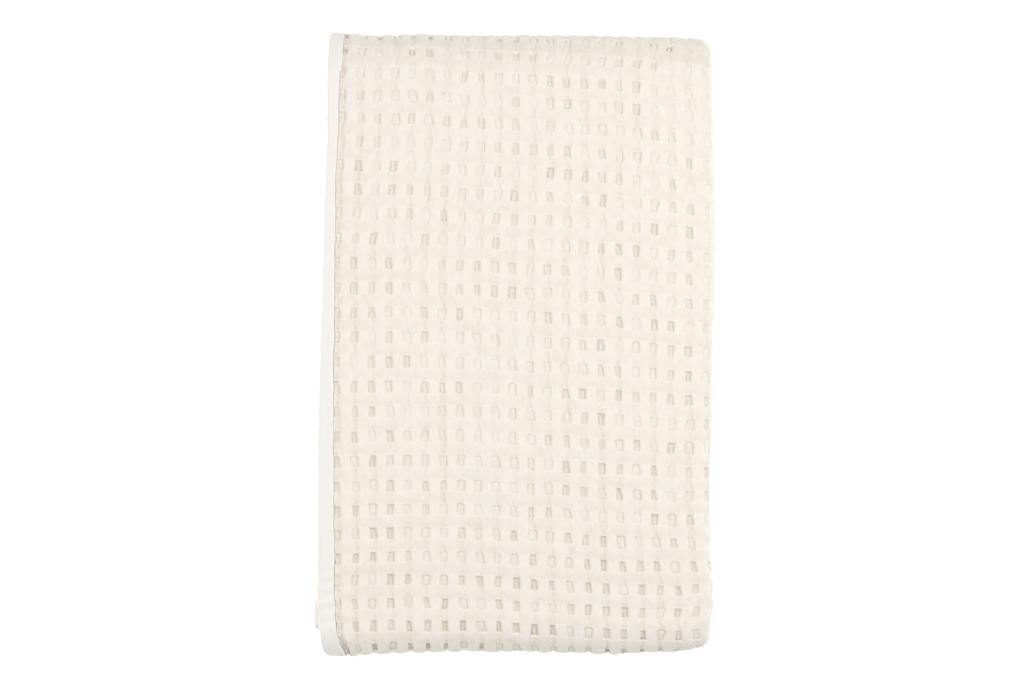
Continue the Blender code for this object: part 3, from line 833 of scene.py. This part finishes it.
def skinPieces(name, columns, rows, cuts, material, depthShare=1.0):  # one skin, cut at these rows
    places, flat, tone = reliefGrid(columns, rows, depthShare)
    normals = pointNormals(places)
    made = []
    edges = [0] + [int(np.argmin(np.abs(rows - cut))) for cut in cuts] + [len(rows) - 1]
    for number, (low, high) in enumerate(zip(edges, edges[1:]), 1):
        part = slice(low, high + 1)
        faces = gridFaces(len(columns), high + 1 - low)
        made.append(meshObject(f"{name}{number}", places[:, part].reshape(-1, 3), faces,
                               flat[:, part].reshape(-1, 2), tone[:, part], material, normals[:, part]))
        lengths = np.linalg.norm(np.diff(flat[:, part], axis=1), axis=-1).sum(1).mean()
        widths = np.linalg.norm(np.diff(flat[:, part], axis=0), axis=-1).sum(0).mean()
        made[-1]["flatSize"] = (float(widths), float(lengths))
        print(name, number, "quads", len(faces), "flat", round(widths, 4), round(lengths, 4))
    return made


def columnStops(ends, every=1):
    return cellStops(*ends, acrossStops, weave["pitchAcross"], every)


def rowStops(ends, every=1):
    return cellStops(*ends, alongStops, weave["pitchAlong"], every)


waffle = waffleCotton()
tapeCotton = bindingTape()

topSkin = skinPieces("waffleTop", columnStops(skinPlan["topColumns"]), rowStops(skinPlan["topRows"]),
                     skinPlan["topCuts"], waffle)
print("relief on the open faces")
sideColumns = columnStops(skinPlan["sideColumns"], 2)
sideSkin = skinPieces("waffleBase", sideColumns, rowStops(skinPlan["baseRows"], 2), (), waffle)
sideSkin += skinPieces("waffleInner", sideColumns, rowStops(skinPlan["innerRows"], 2), (), waffle)
leftSkin = skinPieces("waffleLeft", columnStops(skinPlan["leftColumns"], 2),
                      rowStops(skinPlan["leftRows"], 2), (), waffle, skinPlan["leftDepth"])
print("relief on the folded edges")


def baseStops():  # the base sheet's places across and along, close together beside the tapes
    flat, tapeEnd = size["layerFlat"], stack["tapeFace"] + stack["clearance"]
    past = [tapeEnd] + [tapeEnd + step for step in base["pastTape"]]
    tapeSteps = np.array([stack["rawEdgeInset"], *base["bySeam"], *past, base["inside"]]) / flat
    layer, side, tight = base["layerSteps"], base["sideSteps"], base["tightSteps"]
    across = [tapeSteps, np.linspace(base["evenFrom"], 1, layer, endpoint=False)]
    for low, steps in ((1, side), (2, layer), (3, tight), (4, layer), (5, tight)):
        across.append(low + np.arange(steps) / steps)
    lastFlat = flat - stack["secondEdgeInset"]
    across.append(6 + np.arange(layer) / layer * base["evenTo"])
    across.append(7 - tapeSteps[::-1] * flat / lastFlat)
    one, big, small = base["passSteps"], base["bigSteps"], base["smallSteps"]
    turns = (one, big, one, small, one, small, one)
    along = [low + np.arange(steps) / steps for low, steps in enumerate(turns)]
    return np.concatenate(across), np.concatenate(along + [[7.0]])


def nearTight(place):  # 1 in the middle of the two tight folds, and 0 away from them
    first, second = base["tightPlaces"]
    half = base["pressHalf"]
    return np.clip(1 - np.abs(place - first) / half, 0, 1) + np.clip(1 - np.abs(place - second) / half, 0, 1)


def outward(edge, inner):  # one hem's depth out from the sheet's edge
    away = edge - inner
    return away / np.linalg.norm(away, axis=-1, keepdims=True) * base["hemEnd"]


def baseSheet():
    across, along = baseStops()
    p, t = np.meshgrid(across, along, indexing="ij")
    u, v = np.interp(p, acrossSteps, acrossRun), np.interp(t, alongSteps, alongRun)
    tapeEnd = stack["tapeFace"] + stack["clearance"]
    swell = smooth(np.minimum(u, acrossRun[-1] - u), tapeEnd, tapeEnd + stack["ramp"])
    thick = stack["pressedSheet"] + (stack["sheet"] - stack["pressedSheet"]) * swell
    press = 1 - (1 - stack["foldPress"]) * smooth(np.clip(nearTight(p) * base["pressGrow"], 0, 1))
    press *= 1 - (1 - stack["foldPress"]) * smooth(np.clip(nearTight(t) * base["pressGrow"], 0, 1))
    inner = -thick / 2 * press
    outer = thick / 2 * press
    w = weave
    column = w["knownColumns"][1] + (u / mm - base["knownAcross"]) / w["pitchAcross"]
    row = (v - topStart) / mm / w["pitchAlong"]
    clear = (v > base["clearEnds"]) & (v < alongRun[-1] - base["clearEnds"])
    firstAcross, lastColumn, firstRow, lastRow = base["underTop"]
    top = (u / mm > firstAcross - tapeNarrow((v - topStart) / mm)) & (column < lastColumn)
    top = top & (row > firstRow) & (row < lastRow)
    right = (u > base["underRight"][0]) & (u < base["underRight"][1])
    left = (u > base["underLeft"][0]) & (u < base["underLeft"][1])
    outer = np.where((top | right | left) & clear, -base["under"], outer)
    outerFace = foldedPlace(p, t, outer) + toFrame
    innerFace = foldedPlace(p, t, inner) + toFrame
    middle = foldedPlace(p, t, np.zeros(p.shape)) + toFrame
    wide, long = p.shape
    count = wide * long
    faces = [gridFaces(wide, long), gridFaces(wide, long)[:, ::-1] + count]
    index = np.arange(count).reshape(wide, long)
    ring = np.concatenate([index[0, :], index[1:, -1], index[-1, -2::-1], index[-2:0:-1, 0]])
    rounded = middle.copy()  # the two hemmed ends close in a rounded edge
    rounded[:, 0] += outward(middle[:, 0], middle[:, 1])
    rounded[:, -1] += outward(middle[:, -1], middle[:, -2])
    rim = 2 * count + np.arange(len(ring))
    after = np.roll(np.arange(len(ring)), -1)
    faces.append(np.stack([ring, ring[after], rim[after], rim], axis=-1))
    faces.append(np.stack([rim, rim[after], ring[after] + count, ring + count], axis=-1))
    outerFace, innerFace, rounded = [part.reshape(-1, 3) for part in (outerFace, innerFace, rounded)]
    points = np.concatenate([outerFace, innerFace, rounded[ring]])
    uv = np.stack([u, v], axis=-1).reshape(-1, 2)
    uv = np.concatenate([uv, uv, uv[ring]])
    made = meshObject("clothLayers", points, np.concatenate(faces), uv, np.zeros(len(points)), waffle)
    print("base quads", sum(len(part) for part in faces))
    return made


clothLayers = baseSheet()
print("folded layers")

# The tapes, each folded over one long edge: half of each section's outline, in mm from the edge.
tapeShape = {
    "outer": ((14.0, 2.00), (13.75, 2.40), (13.3, 2.58), (12.8, 2.42), (12.45, 2.12), (12.2, 2.02),
              (11.95, 2.12), (11.5, 2.32), (10.0, 2.30), (7.5, 2.26), (5.0, 2.24), (2.5, 2.26),
              (0.8, 2.30)),
    "inner": ((14.0, 1.45), (11.0, 1.42), (7.0, 1.40), (3.0, 1.40), (0.8, 1.40)),
    "turn": (2.3, 1.4),  # the radii at the edge, outside and inside
    "turnSteps": 8,
    "seen": 3.2,  # the length of a face along the tape where it is seen
    "seenPlace": (-175, 660),  # from the top pass's back end
    "hidden": 8.0,
    "lastStep": 2,  # the last step before an end is at least this long
    "endInset": 0.2,
    "flatWidth": 20,  # how far apart the two faces lie on the flat tape
    "weaveRow": 26,
    "wave": (0.22, 0.6, 6, 0.45),  # height, the share that shows, and its steps across and along
    "edgeWave": (0.45, 0.6),  # height and step
    "flatPlace": (0.0, 4.0),  # in mm from the edge: where the section turns flat, and where waves grow
    "edgeWide": (3, 13),
    "rippleWide": (2, 9),
    "lapWide": (5, 13),
    "ripple": 0.95,
    "rippleShare": 0.5,
    "rippleSlant": 2.5,
    "ripplePlace": (505, 585),
    "rippleEase": (25, 20),
    "ripplePitch": 13.0,
    # painted light and shade on the ripples
    "paintedRippleShading": 0.16,
    "faceTone": 0.62,
    # where the painted highlight on the folded bead lies, in mm from the edge
    "beadPlace": (12.3, 12.9),
    "narrowPlace": (0.8, 11.8),  # the part of the section that is drawn in where less of the face shows
    "lapPlace": -6.0,
    "lapEase": 0.8,
    "lapWider": 1.3,
    "lapHigher": 0.35,
    "aboveFloor": 0.05,
}


def tapeSection():  # (distance in from the edge, distance off the middle, 1 on the outside)
    shape = tapeShape
    outer, inner = shape["turn"]
    turn = [math.pi / 2 - math.pi * step / shape["turnSteps"] for step in range(1, shape["turnSteps"])]
    points = [(x, off, 1) for x, off in shape["outer"]]
    points += [(-outer * math.cos(angle), outer * math.sin(angle), 1) for angle in turn]
    points += [(x, -off, 1) for x, off in reversed(shape["outer"])]
    points += [(x, -off, 0) for x, off in shape["inner"]]
    points += [(-inner * math.cos(angle), inner * math.sin(angle), 0) for angle in reversed(turn)]
    points += [(x, off, 0) for x, off in reversed(shape["inner"])]
    return np.array(points)


def tapePiece(name, edge, level, seed, lapped):
    shape = tapeShape
    section = tapeSection()
    total, start = alongRun[-1] / mm, topStart / mm
    seen = np.arange(start + shape["seenPlace"][0], start + shape["seenPlace"][1], shape["seen"])
    before = np.arange(0, seen[0] - shape["lastStep"], shape["hidden"])
    after = np.arange(seen[-1] + shape["hidden"], total - shape["lastStep"], shape["hidden"])
    fromTop = np.concatenate([before, seen, after, [total - shape["endInset"]]]) - start
    s, w = np.meshgrid(np.arange(len(section)), fromTop, indexing="ij")
    flatX, off, outer = section[s, 0], section[s, 1], section[s, 2]
    row = w / shape["weaveRow"]
    flatPart = smooth(flatX, *shape["flatPlace"])
    face = np.sign(off)
    high, share, across, along = shape["wave"]
    wave = high * spread(seed, flatX / across, row, along)
    low, top = shape["ripplePlace"]
    easeIn, easeOut = shape["rippleEase"]
    rippled = smooth(w, low, low + easeIn) * (1 - smooth(w, top - easeOut, top))
    turns = 2 * np.pi * (w + shape["rippleSlant"] * flatX / 14) / shape["ripplePitch"]
    ripple = shape["ripple"] * rippled * np.sin(turns)
    ripple = ripple * shape["rippleShare"] * smooth(flatX, *shape["rippleWide"])
    off = off + face * outer * flatPart * (wave * share + ripple)
    edgeHigh, edgeStep = shape["edgeWave"]
    edgeMoves = spread(seed + 1, np.full(row.shape, 3.0), row, edgeStep)
    x = flatX + smooth(flatX, *shape["edgeWide"]) * edgeHigh * edgeMoves
    if lapped:  # the tape that shows: its end laps over at the back, and it rolls over the stack's edge
        x = x - tapeNarrow(w) * smooth(flatX, *shape["narrowPlace"])
        lap = 1 - smooth(w, shape["lapPlace"] - shape["lapEase"], shape["lapPlace"] + shape["lapEase"])
        x = x + lap * shape["lapWider"] * smooth(x, *shape["lapWide"])
        off = off + face * outer * lap * shape["lapHigher"] * flatPart
    t = stepAlong(w * mm + topStart)
    places = stackPlace(edge + x * mm, level + off * mm, t) + toFrame
    places[..., 2] = np.maximum(places[..., 2], shape["aboveFloor"] * mm)
    wide, long = w.shape
    faces = gridFaces(wide, long, True)
    uv = np.stack([(flatX + shape["flatWidth"] * (face + 1)) * mm, w * mm], axis=-1)
    # painted highlight on the bead, and painted light and shade on the ripples
    tone = shape["faceTone"] + (1 - shape["faceTone"]) * smooth(flatX, *shape["beadPlace"]) * outer
    shifted = 2 * np.pi * (w + shape["rippleSlant"] * x / 14) / shape["ripplePitch"] + 1
    tone = tone + shape["paintedRippleShading"] * rippled * np.sin(shifted)
    made = meshObject(name, places.reshape(-1, 3), faces, uv.reshape(-1, 2), tone, tapeCotton)
    print(name, "quads", len(faces))
    return made


tape1 = tapePiece("edgeTape1", 0.0, size["side"], 51, True)
tape2 = tapePiece("edgeTape2", stack["secondEdgeInset"], size["tight"], 55, False)
print("tapes")

# Light, floor and camera
studio = {
    "worldColour": "#FFFFFF",
    "worldStrength": 0.27,
    "floorColour": "#FBFBFB",
    "floorShader": {"Roughness": 0.95, "Specular IOR Level": 0.1, "Emission Color": (1.0, 1.0, 1.0, 1.0),
                    "Emission Strength": 0.62},  # it glows a little, as lit white paper does
    "lamps": {  # place, size across, power
        "rightBox": ((1.5, 0.28, 1.75), 1.3, 28.6),
        "leftBox": ((-1.5, -0.02, 1.75), 1.3, 23.6),
    },
    "distance": 2.8,
    "elevation": 80.0,
    "aim": (0.0, 0.0, 0.05),
    "lens": 93.04,
    "sensorWidth": 36.0,
    "shift": (-0.00205, -0.00264),
    "exposure": 0.0,
}


def addFloor():
    bpy.ops.mesh.primitive_plane_add(size=60.0, location=(0, 0, 0))
    floor = bpy.context.object
    floor.name = "floor"
    colour = {"Base Color": linearColour(studio["floorColour"])}
    floor.data.materials.append(plainMaterial("white paper floor", {**colour, **studio["floorShader"]}))


def addLights():
    for name, (place, across, power) in studio["lamps"].items():
        soft = bpy.data.lights.new(name, "AREA")
        soft.shape = "DISK"
        soft.size = across
        soft.energy = power
        lamp = bpy.data.objects.new(name, soft)
        bpy.context.scene.collection.objects.link(lamp)
        lamp.location = place
        lamp.rotation_euler = (Vector(studio["aim"]) - Vector(place)).to_track_quat("-Z", "Y").to_euler()
    world = bpy.data.worlds.new("studio")
    bpy.context.scene.world = world
    world.use_nodes = True
    sky = world.node_tree.nodes["Background"]
    sky.inputs["Color"].default_value = linearColour(studio["worldColour"])
    sky.inputs["Strength"].default_value = studio["worldStrength"]


def addCamera():
    scene = bpy.context.scene
    lens = bpy.data.cameras.new("camera")
    lens.lens = studio["lens"]
    lens.sensor_width = studio["sensorWidth"]
    lens.shift_x, lens.shift_y = studio["shift"]
    camera = bpy.data.objects.new("camera", lens)
    scene.collection.objects.link(camera)
    tilt = math.radians(studio["elevation"])
    aim = Vector(studio["aim"])
    camera.location = aim + Vector((0, -math.cos(tilt), math.sin(tilt))) * studio["distance"]
    camera.rotation_euler = (aim - camera.location).to_track_quat("-Z", "Y").to_euler()
    scene.camera = camera
    scene.view_settings.view_transform = "Standard"
    scene.view_settings.look = "None"
    scene.view_settings.exposure = studio["exposure"]


# What each piece rides on, and what it replaces. The skins' flat sizes are stored on them as they are made.
skins = [*topSkin, *sideSkin, *leftSkin]
for piece in [clothLayers, tape1, tape2, *skins]:
    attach(piece, "root")
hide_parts("cloth_panel")
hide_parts("side_binding_1")
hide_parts("side_binding_2")

addFloor()
addLights()
addCamera()
print("stage")
